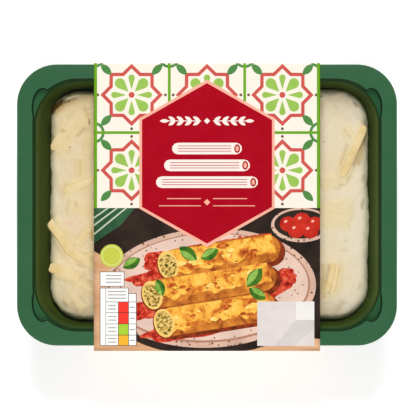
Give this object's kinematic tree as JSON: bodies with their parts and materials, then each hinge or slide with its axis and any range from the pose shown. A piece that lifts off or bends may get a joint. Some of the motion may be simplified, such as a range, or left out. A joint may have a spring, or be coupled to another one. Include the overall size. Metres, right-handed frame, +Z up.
{
  "type": "cannelloni ready meal",
  "caption": "Chilled ready meal of cannelloni in white sauce and grated cheese, in a green plastic tray with a clear lid film and a printed card sleeve.",
  "frame": {"origin": "centre of the pack on the surface it rests on", "axes": "+X along the tray's length, +Y towards the top edge of the sleeve's print, +Z up"},
  "size_m": [0.19, 0.144, 0.039],
  "materials": {
    "tray_plastic": "satin moulded dark green plastic",
    "sauced_pasta": "soft moist white sauce with grated cheese",
    "clear_film": "clear glossy film",
    "printed_card": "smooth coated board with printed fields of colour"
  },
  "bodies": {
    "root": {"tray": "tray_plastic", "cannelloni": "sauced_pasta", "lid_film": "clear_film", "sleeve": "printed_card"}
  },
  "joints": []
}
